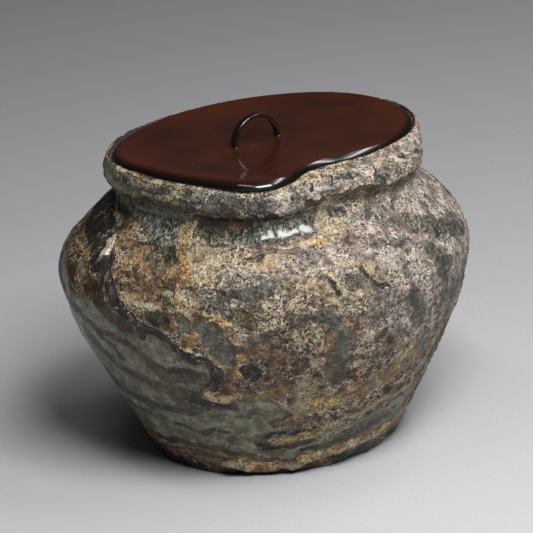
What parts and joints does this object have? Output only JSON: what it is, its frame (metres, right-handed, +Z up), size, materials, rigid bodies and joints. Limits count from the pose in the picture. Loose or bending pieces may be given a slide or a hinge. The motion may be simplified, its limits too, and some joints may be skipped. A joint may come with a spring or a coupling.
{
  "type": "fresh water jar",
  "caption": "Kiln-warped stoneware jar for fresh water with a rolled rim and a lacquered wooden lid that lifts off by a bent loop.",
  "frame": {"origin": "middle of the jar's flat foot, on the resting plane", "axes": "+Z up, the lid's front lobe points along -Y, +X to the right of it"},
  "size_m": [0.2122, 0.2127, 0.1735],
  "materials": {
    "ash_glazed_stoneware": "rough wood-fired stoneware with runny and crusted ash glaze",
    "lacquered_board": "glossy translucent dark brown lacquer",
    "lacquered_strip": "glossy near-black brown lacquer"
  },
  "bodies": {
    "jar": {"jar_body": "ash_glazed_stoneware"},
    "lid": {"lid_board": "lacquered_board", "lid_loop": "lacquered_strip"}
  },
  "joints": [
    {"name": "lid_lift", "type": "slide", "parent": "jar", "child": "lid", "axis": [0, 0, 1], "range_m": [0, 0.08]}
  ]
}
